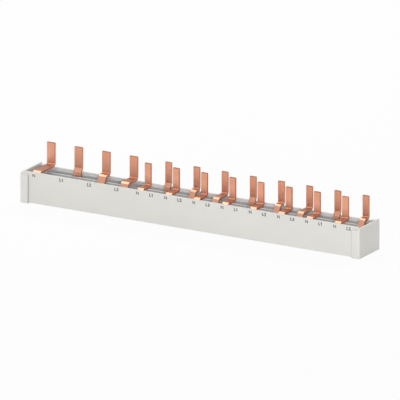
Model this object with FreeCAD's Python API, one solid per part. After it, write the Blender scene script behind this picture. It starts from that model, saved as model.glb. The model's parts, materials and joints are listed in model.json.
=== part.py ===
import FreeCAD, Part
import math
import os

# A comb busbar: one insulating trough, four bent copper combs standing in it on edge, and two end caps.
# X runs along the bar from left to right, Y from the front to the back, Z up.
# The origin lies midway between the ends and between front and back, on the surface that the bar stands on.

# Devices that the bar feeds, counted from the left
pole_pitch = 17.6
pole_modules = 4
pair_pitch = 18.0
pair_modules = 8
pair_spacing = 8.8
device_overhang = 0.7

# Copper strips and their pins
copper = 1.5
strip_height = 6.7
layer_pitch = 4.85
wide_pin = 4.9
slim_pin = 3.8
bend_inside = 0.8
blade_length = 12.4
tip_chamfer = 0.25
lean = 32.0
jog_lean = 34.0
lean_clearance = 0.27
lean_above_partition = 0.3
back_row_offset = 1.5
row_stagger = 7.45

# Insulating trough
wall = 1.2
trough_foot = 0.3
floor_thickness = 1.2
underside_recess = 0.5
foot_width = 2.4
front_slot_gap = 1.45
back_slot_gap = 0.9
partition_thickness = 1.2
partition_above_strip = 5.6
run_above_partition = 2.4
run_above_back_wall = 0.2
lip_above_back_wall = 1.7
lip_round = 0.45
edge_round = 0.4

# Guide ribs that hold the strips upright in their slots
rib_thickness = 0.8
low_rib_height = 1.2
high_rib_drop = 1.4
back_rib_drop = 1.3
rib_clearance = 0.15

# End caps
end_plate = 1.05
cap_below_lip = 0.6
cheek = 1.1
cheek_length = 5.0
cheek_drop = 1.1
cap_round = 0.7
plate_round = 0.3
tongue_clearance = 0.1
peg_length = 3.0
peg_clearance = 0.2
strip_end_clearance = 0.2

# Heights that follow from the sizes above, from the bottom up
floor_bottom = trough_foot + underside_recess
floor_top = floor_bottom + floor_thickness
strip_top = floor_top + strip_height
partition_top = strip_top + partition_above_strip
run_bottom = partition_top + run_above_partition
run_middle = run_bottom + copper / 2
tip_height = run_bottom + copper + blade_length
back_top = run_bottom - run_above_back_wall
front_top = back_top + lip_above_back_wall
cap_height = front_top - cap_below_lip
cheek_height = cap_height - cheek_drop

# Places from front to back that follow from the sizes above
slot_names = ["neutral", "line3", "line2", "line1"]
inside_depth = front_slot_gap + (len(slot_names) - 1) * layer_pitch + copper + back_slot_gap
front_inside = -inside_depth / 2
back_inside = inside_depth / 2
front_face = front_inside - wall
back_face = back_inside + wall
back_row = back_inside - back_slot_gap - copper + back_row_offset
front_row = back_row - row_stagger

# Places along the bar that follow from the sizes above
trough_length = pole_modules * pole_pitch + pair_modules * pair_pitch
left_end = -trough_length / 2 - end_plate
devices_start = left_end - device_overhang
strip_end = trough_length / 2 - peg_length - strip_end_clearance

# How near a coordinate lies to the place that is looked for
near_enough = 0.001


def layer_front(slot):
    """Front face of the strip in a slot, counted from the front."""
    return front_inside + front_slot_gap + slot * layer_pitch


def partition_front(index):
    """Front face of the partition behind a slot, midway between two strips."""
    gap = layer_pitch - copper
    return layer_front(index) + copper + (gap - partition_thickness) / 2


def slot_walls(slot):
    """Faces of the walls or partitions in front of and behind a slot."""
    last = len(slot_names) - 1
    before = front_inside if slot == 0 else partition_front(slot - 1) + partition_thickness
    behind = back_inside if slot == last else partition_front(slot)
    return before, behind


def box(x0, x1, y0, y1, z0, z1):
    """A block between two corners."""
    return Part.makeBox(x1 - x0, y1 - y0, z1 - z0, FreeCAD.Vector(x0, y0, z0))


def section_block(y0, y1, z0, z1):
    """A block of the trough's whole length."""
    return box(-trough_length / 2, trough_length / 2, y0, y1, z0, z1)


def edges_along_x(solid, y, z):
    """The long edges that run at one place of the section."""
    found = []
    for edge in solid.Edges:
        middle = edge.valueAt((edge.FirstParameter + edge.LastParameter) / 2)
        along = abs(edge.tangentAt(edge.FirstParameter).x) > 1 - near_enough
        if along and abs(middle.y - y) < near_enough and abs(middle.z - z) < near_enough:
            found.append(edge)
    return found


def guide_rib(wall_y, strip_y, bottom):
    """A rib from a wall's face to just short of the strip beside it."""
    side = 1 if strip_y > wall_y else -1
    reach = strip_y - side * rib_clearance
    return section_block(min(wall_y, reach), max(wall_y, reach), bottom, bottom + rib_thickness)


def guide_ribs(slot):
    """The ribs on both sides of one strip, the rearmost upper one close under the back wall's top."""
    before, behind = slot_walls(slot)
    strip = layer_front(slot)
    low = floor_top + low_rib_height
    high = strip_top - high_rib_drop
    high_behind = back_top - back_rib_drop - rib_thickness if behind == back_inside else high
    return [
        guide_rib(before, strip, low),
        guide_rib(before, strip, high),
        guide_rib(behind, strip + copper, low),
        guide_rib(behind, strip + copper, high_behind),
    ]


def insulating_profile():
    """The extruded trough: floor, two outer walls, three partitions and the guide ribs."""
    blocks = [
        section_block(front_face, front_inside, trough_foot, front_top),
        section_block(back_inside, back_face, trough_foot, back_top),
        section_block(front_face, back_face, floor_bottom, floor_top),
        section_block(front_face, front_face + foot_width, trough_foot, floor_top),
        section_block(back_face - foot_width, back_face, trough_foot, floor_top),
    ]
    for index in range(len(slot_names) - 1):
        start = partition_front(index)
        blocks.append(section_block(start, start + partition_thickness, floor_bottom, partition_top))
    for slot in range(len(slot_names)):
        blocks.extend(guide_ribs(slot))
    body = blocks[0].fuse(blocks[1:]).removeSplitter()
    lips = [(front_face, front_top), (front_inside, front_top), (back_face, back_top), (back_inside, back_top)]
    rounded = [edge for place in lips for edge in edges_along_x(body, *place)]
    body = body.makeFillet(min(lip_round, wall * 0.4), rounded)
    feet = edges_along_x(body, front_face, trough_foot) + edges_along_x(body, back_face, trough_foot)
    return body.makeFillet(edge_round, feet)


def heading(start, end):
    """The direction from one point to another."""
    return (end - start).normalize()


def left_of(direction):
    """The direction a quarter turn to the left, in the plane across the bar."""
    return FreeCAD.Vector(0, -direction.z, direction.y)


def bent_section(points, thickness, middle_radius, x):
    """Face of a bent sheet in the plane at x, from the corner points of its middle line.

    Every corner becomes an arc, so both sides of the sheet stay parallel.
    """
    corners = [FreeCAD.Vector(x, y, z) for y, z in points]
    half = thickness / 2
    sides = {1: [], -1: []}
    first = heading(corners[0], corners[1])
    feet = {sign: corners[0] + left_of(first) * half * sign for sign in sides}
    ends = dict(feet)
    for index in range(1, len(corners) - 1):
        before = heading(corners[index - 1], corners[index])
        after = heading(corners[index], corners[index + 1])
        turn = before.y * after.z - before.z * after.y
        angle = math.acos(max(-1.0, min(1.0, before.dot(after))))
        setback = middle_radius * math.tan(angle / 2)
        into = corners[index] - before * setback
        out = corners[index] + after * setback
        inward = 1 if turn > 0 else -1
        centre = into + left_of(before) * middle_radius * inward
        bisector = (into - centre + (out - centre)).normalize()
        for sign in sides:
            radius = middle_radius - sign * inward * half
            start = into + left_of(before) * half * sign
            finish = out + left_of(after) * half * sign
            sides[sign].append(Part.LineSegment(ends[sign], start).toShape())
            sides[sign].append(Part.Arc(start, centre + bisector * radius, finish).toShape())
            ends[sign] = finish
    last = heading(corners[-2], corners[-1])
    tips = {}
    for sign in sides:
        shoulder = corners[-1] - last * tip_chamfer + left_of(last) * half * sign
        tips[sign] = corners[-1] + left_of(last) * (half - tip_chamfer) * sign
        sides[sign].append(Part.LineSegment(ends[sign], shoulder).toShape())
        sides[sign].append(Part.LineSegment(shoulder, tips[sign]).toShape())
    tip = Part.LineSegment(tips[1], tips[-1]).toShape()
    foot = Part.LineSegment(feet[1], feet[-1]).toShape()
    outline = Part.Wire(Part.__sortEdges__(sides[1] + [tip] + sides[-1] + [foot]))
    return Part.Face(outline)


def lean_start(name):
    """Height where a middle strip's pin starts to lean back.

    Line 3 leans just above the partition behind it. Line 2 leans lower, as far as the corner of the
    partition behind it allows.
    """
    if name == "line3":
        return partition_top + lean_above_partition
    side_gap = (layer_pitch - copper - partition_thickness) / 2
    spread = copper / 2 * (1 / math.cos(math.radians(lean)) - 1)
    return partition_top - (side_gap - spread - lean_clearance) / math.tan(math.radians(lean))


def pin_route(slot, row):
    """Middle line of a pin from inside its strip to its tip, seen from the end of the bar."""
    start = layer_front(slot) + copper / 2
    blade = row + copper / 2
    name = slot_names[slot]
    if name == "neutral":
        bends = [(start, run_middle), (blade, run_middle)]
    elif name == "line1":
        rise = (blade - start) / math.tan(math.radians(jog_lean))
        bends = [(start, run_middle - rise / 2), (blade, run_middle + rise / 2)]
    else:
        foot = lean_start(name)
        shift = (run_middle - foot) * math.tan(math.radians(lean))
        bends = [(start, foot), (start + shift, run_middle), (blade, run_middle)]
    return [(start, strip_top - copper)] + bends + [(blade, tip_height)]


def pin(slot, row, centre_x, width):
    """One blade with its bends, ready to be joined to its strip."""
    face = bent_section(pin_route(slot, row), copper, bend_inside + copper / 2, centre_x - width / 2)
    return face.extrude(FreeCAD.Vector(width, 0, 0))


def pin_places():
    """Slot, row, place along the bar and width of every pin, from left to right."""
    places = []
    poles = ["neutral", "line1", "line2", "line3"]
    lines = poles[1:]
    for module in range(pole_modules):
        middle = devices_start + (module + 0.5) * pole_pitch
        slot = slot_names.index(poles[module % len(poles)])
        places.append((slot, back_row, middle, wide_pin))
    pairs_start = devices_start + pole_modules * pole_pitch
    for module in range(pair_modules):
        middle = pairs_start + (module + 0.5) * pair_pitch
        slot = slot_names.index(lines[module % len(lines)])
        places.append((0, front_row, middle - pair_spacing / 2, slim_pin))
        places.append((slot, back_row, middle + pair_spacing / 2, slim_pin))
    return places


def comb(slot):
    """One comb: the strip on edge, with its pins rising from the upper edge."""
    front = layer_front(slot)
    strip = box(-strip_end, strip_end, front, front + copper, floor_top, strip_top)
    pins = [pin(*place) for place in pin_places() if place[0] == slot]
    return strip.fuse(pins).removeSplitter()


def end_cap():
    """The right end cap: plate, two cheeks outside the walls, a tongue below and pegs in the slots."""
    inner = trough_length / 2
    outer = inner + end_plate
    start = outer - cheek_length
    half = back_face + cheek
    shell = box(inner, outer, -half, half, 0, cap_height)
    for side in (-1, 1):
        faces = sorted((side * back_face, side * half))
        shell = shell.fuse(box(start, outer, faces[0], faces[1], 0, cheek_height))
    shell = shell.removeSplitter()
    corners = []
    for edge in shell.Edges:
        middle = edge.valueAt((edge.FirstParameter + edge.LastParameter) / 2)
        upright = abs(edge.tangentAt(edge.FirstParameter).z) > 1 - near_enough
        outside = abs(abs(middle.y) - half) < near_enough and abs(middle.x - outer) < near_enough
        if upright and outside:
            corners.append(edge)
    shell = shell.makeFillet(cap_round, corners)
    rims = []
    for edge in shell.Edges:
        middle = edge.valueAt((edge.FirstParameter + edge.LastParameter) / 2)
        level = abs(edge.tangentAt(edge.FirstParameter).z) < near_enough
        if level and abs(middle.z - cap_height) < near_enough and middle.x > inner + near_enough:
            rims.append(edge)
    rim_round = min(plate_round, cap_round * 0.45, end_plate / 3)
    shell = shell.makeFillet(rim_round, rims)
    tongue = back_face - foot_width - tongue_clearance
    parts = [box(start, outer - cap_round, -tongue, tongue, 0, floor_bottom - tongue_clearance)]
    peg_bottom = floor_top + low_rib_height + rib_thickness + peg_clearance
    peg_top = strip_top - high_rib_drop - peg_clearance
    for slot in range(len(slot_names)):
        before, behind = slot_walls(slot)
        front = before + peg_clearance
        back = behind - peg_clearance
        parts.append(box(inner - peg_length, inner + end_plate / 2, front, back, peg_bottom, peg_top))
    return shell.fuse(parts).removeSplitter()


def write(name, shape):
    """Write one piece to its file and print its measures."""
    solid = shape.Solids[0] if len(shape.Solids) == 1 else shape
    solid.exportStep(os.path.join("parts", name + ".step"))
    around = solid.BoundBox
    low = [round(value, 2) for value in (around.XMin, around.YMin, around.ZMin)]
    high = [round(value, 2) for value in (around.XMax, around.YMax, around.ZMax)]
    print(name, "solids", len(shape.Solids), "valid", shape.isValid(), "volume", round(shape.Volume, 1), low, high)


os.makedirs("parts", exist_ok=True)
write("insulating_profile", insulating_profile())
for slot, name in enumerate(slot_names):
    write(name + "_comb", comb(slot))
right_cap = end_cap()
write("right_end_cap", right_cap)
write("left_end_cap", right_cap.mirror(FreeCAD.Vector(0, 0, 0), FreeCAD.Vector(1, 0, 0)))
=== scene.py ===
"""Dressing of a comb busbar: eased edges, copper and plastic finishes, phase letters, camera and studio.

Every length is in metres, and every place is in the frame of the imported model: X along the bar from left
to right, Y from the front to the back, Z up.
"""

import json
import logging
import math
from dataclasses import dataclass
from enum import Enum

import bmesh
import bpy
from mathutils import Matrix, Vector


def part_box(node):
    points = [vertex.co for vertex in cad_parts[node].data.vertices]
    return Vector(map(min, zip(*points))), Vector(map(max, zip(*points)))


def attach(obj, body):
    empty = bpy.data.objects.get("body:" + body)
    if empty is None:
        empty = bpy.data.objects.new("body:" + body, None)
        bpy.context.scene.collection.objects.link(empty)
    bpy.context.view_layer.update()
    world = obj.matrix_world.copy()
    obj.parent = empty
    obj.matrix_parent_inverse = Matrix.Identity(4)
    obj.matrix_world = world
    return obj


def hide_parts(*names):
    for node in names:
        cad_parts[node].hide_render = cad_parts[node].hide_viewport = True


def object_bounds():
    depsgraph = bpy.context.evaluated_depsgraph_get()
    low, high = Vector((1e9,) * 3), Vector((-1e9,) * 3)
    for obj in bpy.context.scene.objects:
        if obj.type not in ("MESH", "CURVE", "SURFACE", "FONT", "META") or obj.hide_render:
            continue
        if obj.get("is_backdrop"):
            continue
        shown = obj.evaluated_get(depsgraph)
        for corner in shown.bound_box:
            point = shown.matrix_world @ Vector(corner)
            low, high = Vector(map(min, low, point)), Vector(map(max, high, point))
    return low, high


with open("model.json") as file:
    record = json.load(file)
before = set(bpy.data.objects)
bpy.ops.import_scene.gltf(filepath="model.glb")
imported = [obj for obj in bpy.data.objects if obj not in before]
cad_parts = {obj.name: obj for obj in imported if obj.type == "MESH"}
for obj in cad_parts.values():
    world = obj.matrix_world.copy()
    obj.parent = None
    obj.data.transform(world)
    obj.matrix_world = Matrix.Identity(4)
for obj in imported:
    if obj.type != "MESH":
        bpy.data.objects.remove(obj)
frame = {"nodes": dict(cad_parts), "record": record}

MM = 0.001
MERGE_DISTANCE = 0.001 * MM
SAME_PLACE = 0.01 * MM
FLAT_ANGLE = math.radians(0.3)
SHARP_ANGLE = math.radians(40.0)
SMOOTH_ANGLE = math.radians(50.0)
BODY = "root"
TROUGH_NODE = "insulating_profile"

# How nearly a face's normal or an edge has to lie along an axis, as a cosine
TURNED_TO = 0.9
SQUARE_TO = 0.98
RUNS_ALONG = 0.99

# The middle of a noise pattern's range, where nearly all of its values lie
NOISE_LOW = 0.3
NOISE_HIGH = 0.7

# Sockets of the mix node where it mixes colours
MIX_SHARE = 0
MIX_FIRST = 6
MIX_SECOND = 7
MIX_RESULT = 2

# A ray's diffuse depth is below this where no dull surface has scattered it
NO_BOUNCE = 0.5

Colour = tuple[float, float, float]
Stretch = tuple[float, float, float]
Place = tuple[float, float, float]
Socket = bpy.types.NodeSocket

log = logging.getLogger("comb_busbar")


class Phase(Enum):
    """A conductor of the bar: the letters printed for it and the node of its comb."""

    NEUTRAL = ("N", "neutral_comb")
    LINE1 = ("L1", "line1_comb")
    LINE2 = ("L2", "line2_comb")
    LINE3 = ("L3", "line3_comb")

    @property
    def letters(self) -> str:
        """What is printed under each of its pins."""
        return self.value[0]

    @property
    def node(self) -> str:
        """The node that holds its comb."""
        return self.value[1]


class EasedEdges(Enum):
    """Which sharp edges of a piece are eased."""

    ALL = "all"
    LENGTHWISE = "lengthwise"


class CopperFace(Enum):
    """The kinds of face on a comb, numbered as their finishes are."""

    ROLLED = 0
    SHEARED = 1
    CUT = 2
    PRESSED = 3
    LEVEL = 4
    LEANING = 5
    FOOT = 6


class PlasticFace(Enum):
    """The kinds of face on the trough and the caps, numbered as their finishes are."""

    PLAIN = 0
    # Painted shade: the darker finish of the trough's inside and of the caps' cheek ends.
    RECESSED = 1


class ShaderGraph:
    """The nodes of one material or world, built with short calls."""

    def __init__(self, owner: bpy.types.Material | bpy.types.World) -> None:
        """Start with no nodes.

        Args:
            owner: the new material or world.
        """
        owner.use_nodes = True
        self.owner = owner
        self.tree = owner.node_tree
        self.tree.nodes.clear()

    def add(self, kind: str) -> bpy.types.Node:
        """Add a node of the given kind and return it."""
        return self.tree.nodes.new(kind)

    def link(self, source: Socket, target: Socket) -> None:
        """Join an output to an input."""
        self.tree.links.new(source, target)

    def combine(self, operation: str, first: Socket, second: Socket | float) -> Socket:
        """Combine two values.

        Args:
            operation: the math node's word for it.
            first: the first value.
            second: the second value, or a number that stays the same.

        Returns:
            The result.
        """
        node = self.add("ShaderNodeMath")
        node.operation = operation
        self.link(first, node.inputs[0])
        if isinstance(second, float):
            node.inputs[1].default_value = second
        else:
            self.link(second, node.inputs[1])
        return node.outputs["Value"]

    def noise(self, stretch: Stretch, detail: float = 3.0, place: Place = (0.0, 0.0, 0.0)) -> Socket:
        """A noise pattern on the piece's own coordinates.

        Args:
            stretch: cycles a metre along X, Y and Z.
            detail: how many finer layers lie on the pattern.
            place: shift of the pattern, so that two of them differ.

        Returns:
            The pattern's value, from 0 to 1.
        """
        source = self.add("ShaderNodeTexCoord")
        mapping = self.add("ShaderNodeMapping")
        mapping.inputs["Scale"].default_value = stretch
        mapping.inputs["Location"].default_value = place
        texture = self.add("ShaderNodeTexNoise")
        texture.inputs["Scale"].default_value = 1.0
        texture.inputs["Detail"].default_value = detail
        self.link(source.outputs["Object"], mapping.inputs["Vector"])
        self.link(mapping.outputs["Vector"], texture.inputs["Vector"])
        return texture.outputs["Fac"]

    def spread(self, value: Socket, low: float, high: float) -> Socket:
        """Spread the middle of a noise pattern over a range.

        Args:
            value: the pattern.
            low: result where the pattern is low.
            high: result where it is high.

        Returns:
            The spread value.
        """
        node = self.add("ShaderNodeMapRange")
        node.inputs["From Min"].default_value = NOISE_LOW
        node.inputs["From Max"].default_value = NOISE_HIGH
        node.inputs["To Min"].default_value = low
        node.inputs["To Max"].default_value = high
        self.link(value, node.inputs["Value"])
        return node.outputs["Result"]

    def blend(self, share: Socket, first: Colour | Socket, second: Colour) -> Socket:
        """Blend two colours by a pattern.

        Args:
            share: 0 for the first colour, 1 for the second.
            first: linear colour, or an output that gives one.
            second: linear colour.

        Returns:
            The blended colour.
        """
        node = self.add("ShaderNodeMix")
        node.data_type = "RGBA"
        self.link(share, node.inputs[MIX_SHARE])
        if isinstance(first, Socket):
            self.link(first, node.inputs[MIX_FIRST])
        else:
            node.inputs[MIX_FIRST].default_value = (*first, 1.0)
        node.inputs[MIX_SECOND].default_value = (*second, 1.0)
        return node.outputs[MIX_RESULT]

    def band(self, low: float, high: float, edge: float) -> Socket:
        """A band of heights that begins within a short edge and fades out upwards.

        Args:
            low: height in metres at which it begins.
            high: height at which it has faded out.
            edge: length of its beginning.

        Returns:
            1 in the band's lower part, 0 outside.
        """
        source = self.add("ShaderNodeTexCoord")
        parts = self.add("ShaderNodeSeparateXYZ")
        self.link(source.outputs["Object"], parts.inputs["Vector"])
        shares = []
        for none, full in ((low, low + edge), (high, low + edge)):
            node = self.add("ShaderNodeMapRange")
            node.inputs["From Min"].default_value = none
            node.inputs["From Max"].default_value = full
            self.link(parts.outputs["Z"], node.inputs["Value"])
            shares.append(node.outputs["Result"])
        return self.combine("MULTIPLY", *shares)

    def bump(self, height: Socket, depth: float, under: Socket | None = None) -> Socket:
        """Turn a pattern into a relief.

        Args:
            height: the pattern.
            depth: its depth in metres.
            under: a relief that this one lies on.

        Returns:
            The bent normal.
        """
        node = self.add("ShaderNodeBump")
        node.inputs["Strength"].default_value = 1.0
        node.inputs["Distance"].default_value = depth
        self.link(height, node.inputs["Height"])
        if under is not None:
            self.link(under, node.inputs["Normal"])
        return node.outputs["Normal"]

    def surface(self) -> bpy.types.Node:
        """Add the principled shader, joined to the output.

        Returns:
            The shader's node.
        """
        shader = self.add("ShaderNodeBsdfPrincipled")
        output = self.add("ShaderNodeOutputMaterial")
        self.link(shader.outputs["BSDF"], output.inputs["Surface"])
        return shader

    def mix_shaders(self, share: Socket, first: Socket, second: Socket) -> Socket:
        """Mix two shaders.

        Args:
            share: 0 for the first shader, 1 for the second.
            first: a shader.
            second: a shader.

        Returns:
            The mixed shader.
        """
        node = self.add("ShaderNodeMixShader")
        for source, target in zip((share, first, second), node.inputs):
            self.link(source, target)
        return node.outputs["Shader"]

    def looked_at(self) -> Socket:
        """Tell the rays by which a surface is seen from those that light something.

        Returns:
            1 for camera, glossy and transmission rays that no dull surface has scattered, else 0.
        """
        path = self.add("ShaderNodeLightPath")
        seen = path.outputs["Is Camera Ray"]
        for kind in ("Is Glossy Ray", "Is Transmission Ray"):
            seen = self.combine("MAXIMUM", seen, path.outputs[kind])
        direct = self.combine("LESS_THAN", path.outputs["Diffuse Depth"], NO_BOUNCE)
        return self.combine("MULTIPLY", seen, direct)


@dataclass(frozen=True)
class Lines:
    """Fine lines or dimples that are left on a surface.

    The stretch is in cycles a metre along X, Y and Z, and the depth in metres.
    """

    stretch: Stretch
    depth: float


ROLLING = Lines(stretch=(60.0, 2600.0, 2600.0), depth=0.0015 * MM)
SHEARING = Lines(stretch=(900.0, 3200.0, 350.0), depth=0.006 * MM)
EXTRUDING = Lines(stretch=(3.0, 1100.0, 1100.0), depth=0.004 * MM)
MOULDING = Lines(stretch=(420.0, 420.0, 420.0), depth=0.006 * MM)


@dataclass(frozen=True)
class CopperFinish:
    """Bare copper, with tone patches of handling and the lines left by rolling or shearing.

    Between two heights it may be lighter: painted light, fading out upwards.
    """

    name: str
    deep: Colour
    pale: Colour
    smooth: float
    rough: float
    lines: Lines
    patch_stretch: Stretch = (90.0, 90.0, 60.0)
    painted_light: Colour | None = None
    painted_light_from: float = 18.9 * MM
    painted_light_to: float = 28.0 * MM
    painted_light_edge: float = 1.4 * MM

    def material(self) -> bpy.types.Material:
        """Build the material.

        Returns:
            The new material.
        """
        graph = ShaderGraph(bpy.data.materials.new(self.name))
        shader = graph.surface()
        shader.inputs["Metallic"].default_value = 1.0
        patches = graph.noise(self.patch_stretch, detail=4.0)
        tone = graph.blend(graph.spread(patches, 0.0, 1.0), self.deep, self.pale)
        if self.painted_light is not None:
            # Painted light: a lighter colour between two heights, fading out upwards.
            tone = graph.blend(graph.band(self.painted_light_from, self.painted_light_to, self.painted_light_edge), tone, self.painted_light)
        graph.link(tone, shader.inputs["Base Color"])
        lines = graph.noise(self.lines.stretch, detail=5.0, place=(7.0, 3.0, 11.0))
        graph.link(graph.spread(lines, self.smooth, self.rough), shader.inputs["Roughness"])
        graph.link(graph.bump(lines, self.lines.depth), shader.inputs["Normal"])
        return graph.owner


@dataclass(frozen=True)
class PlasticFinish:
    """Satin plastic, with faint tone patches, the lines of its making and a fine grain."""

    name: str
    pale: Colour
    dull: Colour
    smooth: float
    rough: float
    lines: Lines
    grain: Lines = Lines(stretch=(5200.0, 5200.0, 5200.0), depth=0.004 * MM)
    patch_stretch: Stretch = (28.0, 60.0, 60.0)
    refraction: float = 1.5

    def material(self) -> bpy.types.Material:
        """Build the material.

        Returns:
            The new material.
        """
        graph = ShaderGraph(bpy.data.materials.new(self.name))
        shader = graph.surface()
        shader.inputs["IOR"].default_value = self.refraction
        patches = graph.noise(self.patch_stretch, detail=3.0, place=(5.0, 1.0, 2.0))
        tone = graph.blend(graph.spread(patches, 0.0, 1.0), self.pale, self.dull)
        graph.link(tone, shader.inputs["Base Color"])
        lines = graph.noise(self.lines.stretch, detail=4.0)
        graph.link(graph.spread(lines, self.smooth, self.rough), shader.inputs["Roughness"])
        grain = graph.noise(self.grain.stretch, detail=2.0)
        relief = graph.bump(lines, self.lines.depth)
        graph.link(graph.bump(grain, self.grain.depth, relief), shader.inputs["Normal"])
        return graph.owner


@dataclass(frozen=True)
class InkFinish:
    """Dark printing ink, a little uneven."""

    name: str
    dense: Colour
    thin: Colour
    roughness: float = 0.55
    patch_stretch: Stretch = (1500.0, 1500.0, 1500.0)

    def material(self) -> bpy.types.Material:
        """Build the material.

        Returns:
            The new material.
        """
        graph = ShaderGraph(bpy.data.materials.new(self.name))
        shader = graph.surface()
        shader.inputs["Roughness"].default_value = self.roughness
        patches = graph.noise(self.patch_stretch, detail=2.0)
        tone = graph.blend(graph.spread(patches, 0.0, 1.0), self.dense, self.thin)
        graph.link(tone, shader.inputs["Base Color"])
        return graph.owner


@dataclass(frozen=True)
class FloorFinish:
    """Pale floor that looks white beside the shadow that it keeps."""

    name: str
    colour: Colour
    lift: float

    def material(self) -> bpy.types.Material:
        """Build the material: a dull surface, lifted towards white only where it is looked at.

        Returns:
            The new material.
        """
        graph = ShaderGraph(bpy.data.materials.new(self.name))
        dull = graph.add("ShaderNodeBsdfDiffuse")
        dull.inputs["Color"].default_value = (*self.colour, 1.0)
        white = graph.add("ShaderNodeEmission")
        white.inputs["Strength"].default_value = 1.0
        share = graph.combine("MULTIPLY", graph.looked_at(), self.lift)
        output = graph.add("ShaderNodeOutputMaterial")
        mixed = graph.mix_shaders(share, dull.outputs["BSDF"], white.outputs["Emission"])
        graph.link(mixed, output.inputs["Surface"])
        return graph.owner


def round_off(
    sheet: bmesh.types.BMesh, edges: list[bmesh.types.BMEdge], radius: float, segments: int
) -> None:
    """Round edges of a mesh.

    Args:
        sheet: the mesh.
        edges: the edges to round.
        radius: how far the rounding reaches on each side, in metres.
        segments: how many faces the rounding has across.
    """
    bmesh.ops.bevel(
        sheet,
        geom=edges,
        offset=radius,
        offset_type="OFFSET",
        affect="EDGES",
        segments=segments,
        profile=0.5,
        material=-1,
        clamp_overlap=True,
    )


@dataclass
class DressedNode:
    """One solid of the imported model, copied and merged, with its sharp edges eased."""

    node: str
    slot: str
    edge_round: float
    edges: EasedEdges
    segments: int = 2

    def build(self, materials: list[bpy.types.Material]) -> bpy.types.Object:
        """Build the piece in place of its node.

        Args:
            materials: the finishes that the faces choose from.

        Returns:
            The finished piece.
        """
        sheet = bmesh.new()
        sheet.from_mesh(frame["nodes"][self.node].data)
        bmesh.ops.remove_doubles(sheet, verts=sheet.verts, dist=MERGE_DISTANCE)
        bmesh.ops.dissolve_limit(sheet, angle_limit=FLAT_ANGLE, verts=sheet.verts, edges=sheet.edges)
        for face in sheet.faces:
            face.smooth = True
            face.material_index = self.finish_of(face)
        self.shape(sheet)
        eased = [edge for edge in sheet.edges if self.is_eased(edge)]
        round_off(sheet, eased, self.edge_round, self.segments)
        bmesh.ops.recalc_face_normals(sheet, faces=sheet.faces)
        mesh = bpy.data.meshes.new(self.node + "_dressed")
        sheet.to_mesh(mesh)
        sheet.free()
        mesh.set_sharp_from_angle(angle=SMOOTH_ANGLE)
        for material in materials:
            mesh.materials.append(material)
        piece = bpy.data.objects.new(self.node + "_dressed", mesh)
        bpy.context.scene.collection.objects.link(piece)
        weighted = piece.modifiers.new("even_faces", "WEIGHTED_NORMAL")
        weighted.keep_sharp = True
        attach(piece, BODY)
        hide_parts(self.node)
        log.info("%s: %d faces", piece.name, len(mesh.polygons))
        return piece

    def shape(self, sheet: bmesh.types.BMesh) -> None:
        """Change the copy before its edges are eased; here nothing is changed.

        Args:
            sheet: the merged copy.
        """

    def finish_of(self, face: bmesh.types.BMFace) -> int:
        """Number of the finish of a face; here every face has the first."""
        return 0

    def is_eased(self, edge: bmesh.types.BMEdge) -> bool:
        """Tell whether an edge is sharp, and runs the way that the piece's edges are eased.

        Args:
            edge: an edge of the merged copy.

        Returns:
            True for an edge to ease.
        """
        if len(edge.link_faces) != 2 or edge.calc_face_angle(0.0) < SHARP_ANGLE:
            return False
        if self.edges is EasedEdges.ALL:
            return True
        along = (edge.verts[1].co - edge.verts[0].co).normalized()
        return abs(along.x) > RUNS_ALONG


@dataclass
class Comb(DressedNode):
    """A copper comb, whose faces differ in finish by the way that they were made, and by their slope and
    height, which paints shade and light into the copper's colour.
    """

    tip_reach: float = 0.4 * MM
    hollow_angle: float = math.radians(2.0)
    foot_height: float = 17.0 * MM
    least_lean: float = 0.45
    most_lean: float = 0.6

    def finish_of(self, face: bmesh.types.BMFace) -> int:
        """Number of a face's finish."""
        return self.kind_of(face).value

    def kind_of(self, face: bmesh.types.BMFace) -> CopperFace:
        """Tell a face's kind by the way that it faces and by its height.

        Args:
            face: a face of the merged comb.

        Returns:
            The kind. An inner bend and the upper side of a pin that leans get darker kinds, which are
            painted shade, and the front of a pin that rises straight a lighter one, which is painted light.
        """
        height = face.calc_center_median().z
        normal = face.normal
        # Sheared sides: a rougher finish, and a darker colour that is partly painted shade.
        if abs(normal.x) > TURNED_TO:
            return CopperFace.SHEARED
        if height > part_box(self.node)[1].z - self.tip_reach and abs(normal.y) < TURNED_TO:
            return CopperFace.CUT
        # Painted shade: level tops get a darker finish, in place of the darker reflection they show.
        if normal.z > SQUARE_TO:
            return CopperFace.LEVEL
        # Painted shade: inner bends get a darker finish, which takes away their highlight.
        if sum(self.is_hollow(edge) for edge in face.edges) > 1:
            return CopperFace.PRESSED
        # Painted shade: the upper side of a leaning pin gets a darker finish, which keeps it from shining.
        if self.least_lean < normal.z < self.most_lean and normal.y < 0.0:
            return CopperFace.LEANING
        # Painted light: the front of a rising pin, below the foot height, gets a lighter finish.
        if height < self.foot_height and normal.y < -SQUARE_TO:
            return CopperFace.FOOT
        return CopperFace.ROLLED

    def is_hollow(self, edge: bmesh.types.BMEdge) -> bool:
        """Tell whether the faces beside an edge lean towards each other."""
        return len(edge.link_faces) == 2 and edge.calc_face_angle_signed(0.0) < -self.hollow_angle


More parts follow.
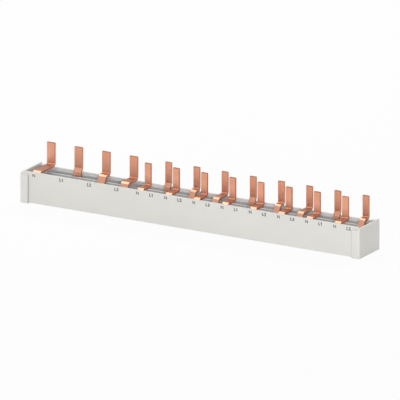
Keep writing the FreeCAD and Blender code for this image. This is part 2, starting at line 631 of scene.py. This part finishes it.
@dataclass
class CopperCombs:
    """The four combs that stand in the trough."""

    edge_round: float = 0.12 * MM
    rolled: CopperFinish = CopperFinish(
        name="rolled_copper",
        deep=(0.76, 0.345, 0.22),
        pale=(0.81, 0.385, 0.25),
        smooth=0.33,
        rough=0.40,
        lines=ROLLING,
        # Painted light on the blades between the band's two heights.
        painted_light=(0.93, 0.46, 0.31),
    )
    # Rough sheared copper, darkened partly as painted shade on the sides.
    sheared: CopperFinish = CopperFinish(
        name="sheared_copper",
        deep=(0.48, 0.235, 0.165),
        pale=(0.59, 0.30, 0.215),
        smooth=0.55,
        rough=0.7,
        lines=SHEARING,
    )
    cut: CopperFinish = CopperFinish(
        name="cut_copper",
        deep=(0.22, 0.12, 0.075),
        pale=(0.32, 0.17, 0.105),
        smooth=0.5,
        rough=0.7,
        lines=SHEARING,
    )
    # Painted shade: a darker copper for inner bends.
    pressed: CopperFinish = CopperFinish(
        name="pressed_copper",
        deep=(0.52, 0.235, 0.15),
        pale=(0.60, 0.28, 0.18),
        smooth=0.5,
        rough=0.62,
        lines=ROLLING,
    )
    # Painted shade: a darker copper for level tops.
    level: CopperFinish = CopperFinish(
        name="dusty_copper",
        deep=(0.33, 0.16, 0.105),
        pale=(0.42, 0.20, 0.135),
        smooth=0.42,
        rough=0.52,
        lines=ROLLING,
    )
    # Painted shade: a darker copper for the upper side of a leaning pin.
    leaning: CopperFinish = CopperFinish(
        name="leaning_copper",
        deep=(0.54, 0.275, 0.187),
        pale=(0.60, 0.305, 0.212),
        smooth=0.36,
        rough=0.44,
        lines=ROLLING,
    )
    # Painted light: a lighter copper for the front of a pin that rises straight.
    foot: CopperFinish = CopperFinish(
        name="foot_copper",
        deep=(0.93, 0.52, 0.35),
        pale=(0.97, 0.56, 0.38),
        smooth=0.36,
        rough=0.44,
        lines=ROLLING,
    )

    def build(self) -> list[bpy.types.Object]:
        """Build the combs.

        Returns:
            One piece for each phase.
        """
        finishes = {
            CopperFace.ROLLED: self.rolled,
            CopperFace.SHEARED: self.sheared,
            CopperFace.CUT: self.cut,
            CopperFace.PRESSED: self.pressed,
            CopperFace.LEVEL: self.level,
            CopperFace.LEANING: self.leaning,
            CopperFace.FOOT: self.foot,
        }
        materials = [finishes[kind].material() for kind in CopperFace]
        made = []
        for phase in Phase:
            comb = Comb(node=phase.node, slot="copper", edge_round=self.edge_round, edges=EasedEdges.ALL)
            made.append(comb.build(materials))
        return made


@dataclass
class Profile(DressedNode):
    """The trough's solid, whose inside is painted darker, as painted shade."""

    skin: float = 1.0 * MM

    def finish_of(self, face: bmesh.types.BMFace) -> int:
        """Choose a face's finish by its place.

        Args:
            face: a face of the merged trough.

        Returns:
            The number of PLAIN outside and on the lips, and that of the darker finish inside the trough,
            which is painted shade.
        """
        low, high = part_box(self.node)
        middle = face.calc_center_median()
        between = low.y + self.skin < middle.y < high.y - self.skin
        inside = between and middle.z > low.z + self.skin and abs(face.normal.x) < TURNED_TO
        return (PlasticFace.RECESSED if inside else PlasticFace.PLAIN).value


@dataclass
class Trough:
    """The extruded insulating trough, with faint lines from the die along its whole length."""

    edge_round: float = 0.12 * MM
    finish: PlasticFinish = PlasticFinish(
        name="extruded_plastic",
        pale=(0.785, 0.775, 0.735),
        dull=(0.755, 0.745, 0.71),
        smooth=0.40,
        rough=0.52,
        lines=EXTRUDING,
    )
    # Painted shade: a darker, greyer plastic for the trough's inside.
    inside: PlasticFinish = PlasticFinish(
        name="inner_plastic",
        pale=(0.69, 0.70, 0.70),
        dull=(0.64, 0.65, 0.65),
        smooth=0.45,
        rough=0.58,
        lines=EXTRUDING,
    )

    def build(self) -> bpy.types.Object:
        """Build the trough.

        Returns:
            The finished trough.
        """
        profile = Profile(TROUGH_NODE, "trough_plastic", self.edge_round, EasedEdges.LENGTHWISE)
        return profile.build([self.finish.material(), self.inside.material()])


@dataclass
class EndCap(DressedNode):
    """An end cap, whose cheeks have a rounded upright edge where they end on the trough's wall."""

    cheek_round: float = 0.5 * MM
    cheek_segments: int = 4
    joint_shade_depth: float = 0.6 * MM
    joint_shade_slope: float = 0.3

    def shape(self, sheet: bmesh.types.BMesh) -> None:
        """Round the outer upright edge at each cheek's free end, and paint the end darker, as painted shade
        in the joint with the trough.

        Args:
            sheet: the merged copy of the cap.
        """
        low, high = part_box(self.node)
        inner = min((low.x, high.x), key=abs)
        ends = []
        for edge in sheet.edges:
            upright = all(abs(vert.co.x - inner) < SAME_PLACE for vert in edge.verts)
            outside = all(high.y - abs(vert.co.y) < SAME_PLACE for vert in edge.verts)
            if upright and outside:
                ends.append(edge)
        round_off(sheet, ends, self.cheek_round, self.cheek_segments)
        inwards = -math.copysign(1.0, inner)
        for face in sheet.faces:
            # Painted shade: the cheek's free end, facing along the bar, is darkened.
            at_end = abs(face.calc_center_median().x - inner) < self.joint_shade_depth
            if at_end and face.normal.x * inwards > self.joint_shade_slope:
                face.material_index = PlasticFace.RECESSED.value


@dataclass
class EndCaps:
    """The two moulded caps that close the trough's ends."""

    edge_round: float = 0.15 * MM
    finish: PlasticFinish = PlasticFinish(
        name="moulded_plastic",
        pale=(0.79, 0.78, 0.745),
        dull=(0.765, 0.757, 0.725),
        smooth=0.44,
        rough=0.56,
        lines=MOULDING,
    )
    # Painted shade: a darker plastic for the cheeks' free ends where they meet the trough.
    joint_shade: PlasticFinish = PlasticFinish(
        name="cap_joint",
        pale=(0.52, 0.515, 0.49),
        dull=(0.46, 0.455, 0.435),
        smooth=0.6,
        rough=0.7,
        lines=MOULDING,
    )

    def build(self) -> list[bpy.types.Object]:
        """Build both caps.

        Returns:
            The left cap and the right one.
        """
        materials = [self.finish.material(), self.joint_shade.material()]
        caps = []
        for side in ("left", "right"):
            cap = EndCap(side + "_end_cap", "cap_plastic", self.edge_round, EasedEdges.ALL)
            caps.append(cap.build(materials))
        return caps


@dataclass
class PhaseMarks:
    """The phase letters printed on the trough's front, one mark before each pin."""

    letter_height: float = 1.7 * MM
    below_lip: float = 1.8 * MM
    film: float = 0.012 * MM
    spacing: float = 1.22
    boldness: float = 0.1 * MM
    neutral_boldness: float = 0.055 * MM
    cap_share: float = 0.7
    curve_steps: int = 3
    flag_height: float = 0.42 * MM
    flag_reach: float = 0.36 * MM
    flag_drop: float = 0.3 * MM
    ink: InkFinish = InkFinish(name="printing_ink", dense=(0.035, 0.036, 0.04), thin=(0.07, 0.07, 0.075))

    def build(self) -> bpy.types.Object:
        """Print every mark as one piece.

        Returns:
            The printed marks.
        """
        low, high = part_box(TROUGH_NODE)
        sheet = bmesh.new()
        for mount in frame["record"]["mounts"]:
            phase = self.phase_of(mount["name"])
            if phase is None:
                continue
            place = Vector((mount["pos_m"][0], low.y, high.z - self.below_lip))
            letters = self.letters(phase, place)
            sheet.from_mesh(letters)
            bpy.data.meshes.remove(letters)
        bmesh.ops.remove_doubles(sheet, verts=sheet.verts, dist=MERGE_DISTANCE)
        bmesh.ops.recalc_face_normals(sheet, faces=sheet.faces)
        mesh = bpy.data.meshes.new("phase_marks")
        sheet.to_mesh(mesh)
        sheet.free()
        mesh.materials.append(self.ink.material())
        piece = bpy.data.objects.new("phase_marks", mesh)
        bpy.context.scene.collection.objects.link(piece)
        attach(piece, BODY)
        log.info("%s: %d faces", piece.name, len(mesh.polygons))
        return piece

    def phase_of(self, mount: str) -> Phase | None:
        """Tell which phase a mount belongs to.

        Args:
            mount: the mount's name.

        Returns:
            The phase of a blade's mount, or None for another mount.
        """
        for phase in Phase:
            if mount.startswith("blade") and mount.endswith(phase.name.lower()):
                return phase
        return None

    def letters(self, phase: Phase, place: Vector) -> bpy.types.Mesh:
        """Make one mark as a thin film of ink.

        Args:
            phase: whose letters they are.
            place: the middle of the mark on the trough's front.

        Returns:
            A mesh in the frame.
        """
        curve = bpy.data.curves.new("letters", "FONT")
        curve.body = phase.letters
        curve.size = self.letter_height / self.cap_share
        curve.align_x = "CENTER"
        curve.space_character = self.spacing
        curve.extrude = self.film
        curve.offset = self.neutral_boldness if phase is Phase.NEUTRAL else self.boldness
        curve.resolution_u = self.curve_steps
        source = bpy.data.objects.new("letters", curve)
        bpy.context.scene.collection.objects.link(source)
        bpy.context.view_layer.update()
        evaluated = source.evaluated_get(bpy.context.evaluated_depsgraph_get())
        mesh = bpy.data.meshes.new_from_object(evaluated)
        bpy.data.objects.remove(source)
        bpy.data.curves.remove(curve)
        if phase is Phase.LINE1:
            self.add_flag(mesh)
        corners = [vertex.co for vertex in mesh.vertices]
        middle = (min(c.y for c in corners) + max(c.y for c in corners)) / 2
        upright = Matrix.Rotation(math.radians(90.0), 4, "X")
        mesh.transform(Matrix.Translation(place) @ upright @ Matrix.Translation((0.0, -middle, 0.0)))
        return mesh

    def add_flag(self, mark: bpy.types.Mesh) -> None:
        """Pull a flag out of the plain bar that the font draws for a "1".

        Args:
            mark: the mark of the first line, flat, with the bar right of its middle. It is changed in place.
        """
        sheet = bmesh.new()
        sheet.from_mesh(mark)
        bmesh.ops.remove_doubles(sheet, verts=sheet.verts, dist=MERGE_DISTANCE)
        flag_foot = max(vertex.co.y for vertex in sheet.verts) - self.flag_height
        bar = [face for face in sheet.faces if all(vertex.co.x > 0.0 for vertex in face.verts)]
        edges = list(dict.fromkeys(edge for face in bar for edge in face.edges))
        corners = list(dict.fromkeys(vertex for face in bar for vertex in face.verts))
        bar_left = min(vertex.co.x for vertex in corners)
        whole = bar + edges + corners
        bmesh.ops.bisect_plane(sheet, geom=whole, plane_co=(0.0, flag_foot, 0.0), plane_no=(0.0, 1.0, 0.0))
        root = []
        for face in sheet.faces:
            at_left = all(abs(vertex.co.x - bar_left) < SAME_PLACE for vertex in face.verts)
            if at_left and face.calc_center_median().y > flag_foot:
                root.append(face)
        pulled = bmesh.ops.extrude_face_region(sheet, geom=root)["geom"]
        tip = [item for item in pulled if isinstance(item, bmesh.types.BMVert)]
        bmesh.ops.translate(sheet, vec=(-self.flag_reach, -self.flag_drop, 0.0), verts=tip)
        bmesh.ops.delete(sheet, geom=root, context="FACES_ONLY")
        sheet.to_mesh(mark)
        sheet.free()


@dataclass(frozen=True)
class SoftLamp:
    """A flat soft lamp."""

    name: str
    place: Place
    aim: Place
    width: float
    height: float
    power: float

    def build(self) -> bpy.types.Object:
        """Hang the lamp at its place and turn it to its aim.

        Returns:
            The lamp.
        """
        data = bpy.data.lights.new(self.name, "AREA")
        data.shape = "RECTANGLE"
        data.size = self.width
        data.size_y = self.height
        data.energy = self.power
        lamp = bpy.data.objects.new(self.name, data)
        lamp.location = self.place
        lamp.rotation_euler = (Vector(self.aim) - Vector(self.place)).to_track_quat("-Z", "Y").to_euler()
        bpy.context.scene.collection.objects.link(lamp)
        return lamp


@dataclass
class Studio:
    """Camera, lamps, pale floor and white surroundings."""

    azimuth: float = 30.0
    elevation: float = 17.0
    span: float = 221.2 * MM
    aim: Place = (0.0, 0.0, 14.83 * MM)
    distance: float = 0.6
    near: float = 0.01
    far: float = 20.0
    surround: float = 0.24
    lamps: tuple[SoftLamp, ...] = (
        SoftLamp(
            name="overhead_lamp",
            place=(-0.35, 0.03, 0.6),
            aim=(-0.35, 0.03, 0.0),
            width=0.5,
            height=0.7,
            power=2.0,
        ),
        SoftLamp(
            name="back_lamp",
            place=(0.04, 1.44, 1.08),
            aim=(0.0, 0.0, 0.0),
            width=0.5,
            height=0.4,
            power=12.8,
        ),
        SoftLamp(
            name="front_lamp",
            place=(0.7, -1.159, 0.362),
            aim=(0.0, 0.0, 0.0),
            width=0.5,
            height=0.4,
            power=10.2,
        ),
    )
    floor_size: float = 6.0
    floor: FloorFinish = FloorFinish(name="pale_floor", colour=(0.9, 0.9, 0.9), lift=0.93)

    def build(self) -> None:
        """Build the studio."""
        self.make_camera()
        for lamp in self.lamps:
            lamp.build()
        self.make_surroundings()
        self.make_floor()
        bpy.context.scene.view_settings.view_transform = "Standard"

    def make_camera(self) -> bpy.types.Object:
        """Set up the parallel view of the picture, from the right and a little above.

        Returns:
            The camera.
        """
        across = math.radians(self.azimuth)
        up = math.radians(self.elevation)
        back = Vector((math.sin(across) * math.cos(up), -math.cos(across) * math.cos(up), math.sin(up)))
        data = bpy.data.cameras.new("camera")
        data.type = "ORTHO"
        data.ortho_scale = self.span
        data.clip_start = self.near
        data.clip_end = self.far
        camera = bpy.data.objects.new("camera", data)
        camera.location = Vector(self.aim) + back * self.distance
        camera.rotation_euler = (-back).to_track_quat("-Z", "Y").to_euler()
        bpy.context.scene.collection.objects.link(camera)
        bpy.context.scene.camera = camera
        return camera

    def make_surroundings(self) -> None:
        """Make the surroundings white to look at and much weaker as a light."""
        graph = ShaderGraph(bpy.data.worlds.new("surroundings"))
        backgrounds = []
        for strength in (self.surround, 1.0):
            background = graph.add("ShaderNodeBackground")
            background.inputs["Color"].default_value = (1.0, 1.0, 1.0, 1.0)
            background.inputs["Strength"].default_value = strength
            backgrounds.append(background.outputs["Background"])
        output = graph.add("ShaderNodeOutputWorld")
        graph.link(graph.mix_shaders(graph.looked_at(), *backgrounds), output.inputs["Surface"])
        bpy.context.scene.world = graph.owner

    def make_floor(self) -> bpy.types.Object:
        """Lay the floor that the bar stands on.

        Returns:
            The floor.
        """
        sheet = bmesh.new()
        bmesh.ops.create_grid(sheet, x_segments=1, y_segments=1, size=self.floor_size / 2)
        mesh = bpy.data.meshes.new("floor")
        sheet.to_mesh(mesh)
        sheet.free()
        mesh.materials.append(self.floor.material())
        piece = bpy.data.objects.new("floor", mesh)
        bpy.context.scene.collection.objects.link(piece)
        piece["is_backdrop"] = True
        return piece


def write_sizes(cad: tuple[Vector, Vector], dressed: tuple[Vector, Vector]) -> None:
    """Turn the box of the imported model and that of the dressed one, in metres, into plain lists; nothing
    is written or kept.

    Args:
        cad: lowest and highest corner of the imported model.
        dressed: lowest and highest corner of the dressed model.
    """
    boxes = {"cad": cad, "dressed": dressed}
    plain = {name: [list(corner) for corner in corners] for name, corners in boxes.items()}


def main() -> None:
    """Build the pieces in order, from the trough outwards, and then the studio."""
    logging.basicConfig(level=logging.INFO, format="%(name)s %(message)s")
    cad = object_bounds()
    Trough().build()
    CopperCombs().build()
    EndCaps().build()
    PhaseMarks().build()
    Studio().build()
    write_sizes(cad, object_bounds())


if __name__ == "__main__":
    main()
